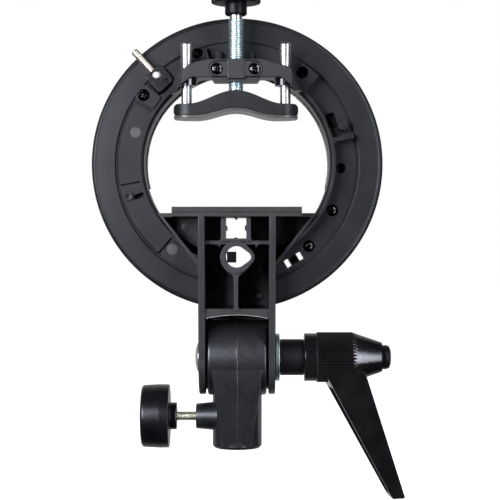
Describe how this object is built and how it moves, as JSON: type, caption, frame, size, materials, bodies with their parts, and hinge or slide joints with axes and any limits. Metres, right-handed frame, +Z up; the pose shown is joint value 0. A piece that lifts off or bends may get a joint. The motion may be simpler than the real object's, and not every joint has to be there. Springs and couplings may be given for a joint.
{
  "type": "speedlight bracket with swivel stand mount",
  "caption": "Ring bracket that clamps a flash head behind a bayonet mount for light modifiers and tilts on a swivel socket for a light stand.",
  "frame": {"origin": "centre of the flat roof of the stand socket's bore, where a stand spigot ends", "axes": "+Z up the socket, +Y towards the light modifier, +X to the right as the user sees it from behind, along the tilt bolt"},
  "size_m": [0.1719, 0.0567, 0.277],
  "materials": {
    "matt_black_plastic": "fine moulded texture",
    "gloss_black_plastic": "polished",
    "black_casting": "satin black paint on a die casting",
    "black_rubber": "matt",
    "black_steel": "black oxide",
    "chrome": "bright plated",
    "zinc_steel": "blue-white zinc plate",
    "plain_steel": "machined",
    "brass": "machined"
  },
  "bodies": {
    "base": {"stand_socket": "black_casting", "socket_thread_insert": "brass"},
    "screw_tip": {"pressure_tip": "brass"},
    "thumbscrew": {"thumbscrew_stud": "plain_steel", "thumbscrew_knob": "matt_black_plastic", "knob_end_cap": "gloss_black_plastic"},
    "head": {"ring_frame": "matt_black_plastic", "bayonet_ring": "plain_steel", "bayonet_screw_1": "black_steel", "bayonet_screw_2": "black_steel", "bayonet_screw_3": "black_steel", "bayonet_screw_4": "black_steel", "bayonet_screw_5": "black_steel", "bayonet_screw_6": "black_steel", "rest_pad": "black_rubber", "spindle_nut": "plain_steel", "nut_cover": "matt_black_plastic", "nut_cover_screw_left": "black_steel", "nut_cover_screw_right": "black_steel", "guide_bush_left": "gloss_black_plastic", "guide_bush_right": "gloss_black_plastic", "umbrella_clip": "gloss_black_plastic", "swivel_bolt": "chrome", "swivel_washer": "zinc_steel", "friction_disc_left": "black_rubber", "friction_disc_right": "black_rubber", "lock_spring": "plain_steel"},
    "lock": {"release_block": "matt_black_plastic", "lock_pin": "plain_steel", "release_rod": "chrome", "pin_collar": "plain_steel"},
    "jaw": {"jaw_beam": "matt_black_plastic", "jaw_pad": "black_rubber", "guide_rod_left": "chrome", "guide_rod_right": "chrome", "rod_screw_left": "zinc_steel", "rod_screw_right": "zinc_steel", "spindle_retainer": "plain_steel"},
    "spindle": {"spindle_screw": "zinc_steel", "spindle_knob": "matt_black_plastic", "spindle_knob_cap": "gloss_black_plastic"},
    "sleeve": {"spacer_sleeve": "matt_black_plastic"},
    "lever_core": {"lever_insert": "plain_steel", "lever_screw": "gloss_black_plastic", "lever_spring": "plain_steel"},
    "lever_handle": {"lever_handle": "gloss_black_plastic"}
  },
  "joints": [
    {"name": "head_tilt", "type": "hinge", "parent": "base", "child": "head", "pos_m": [0, 0, 0.0135], "axis": [1, 0, 0], "range_deg": [-90, 90]},
    {"name": "jaw_slide", "type": "slide", "parent": "head", "child": "jaw", "axis": [0, 0, -1], "range_m": [-0.003, 0.022]},
    {"name": "spindle_turn", "type": "hinge", "parent": "jaw", "child": "spindle", "pos_m": [-0.0005, -0.0225, 0.1566], "axis": [0, 0, -1], "range_deg": [-864, 6336]},
    {"name": "lock_pull", "type": "slide", "parent": "head", "child": "lock", "axis": [0, -1, 0], "range_m": [0, 0.005]},
    {"name": "sleeve_slide", "type": "slide", "parent": "head", "child": "sleeve", "axis": [1, 0, 0], "range_m": [0, 0.000625]},
    {"name": "lever_turn", "type": "hinge", "parent": "sleeve", "child": "lever_core", "pos_m": [0.0367, 0, 0.0135], "axis": [1, 0, 0], "range_deg": [0, 180]},
    {"name": "handle_lift", "type": "slide", "parent": "lever_core", "child": "lever_handle", "axis": [1, 0, 0], "range_m": [0, 0.004]},
    {"name": "tip_slide", "type": "slide", "parent": "base", "child": "screw_tip", "axis": [1, 0, 0], "range_m": [-0.004, 0.009]},
    {"name": "thumbscrew_turn", "type": "hinge", "parent": "screw_tip", "child": "thumbscrew", "pos_m": [-0.0332, 0, -0.0188], "axis": [1, 0, 0], "range_deg": [-1800, 4050]}
  ],
  "couplings": [
    {"joint": "jaw_slide", "follows": "spindle_turn", "m_per_rad": 0.00019894},
    {"joint": "sleeve_slide", "follows": "lever_turn", "m_per_rad": 0.00019894},
    {"joint": "tip_slide", "follows": "thumbscrew_turn", "m_per_rad": 0.00012732}
  ]
}
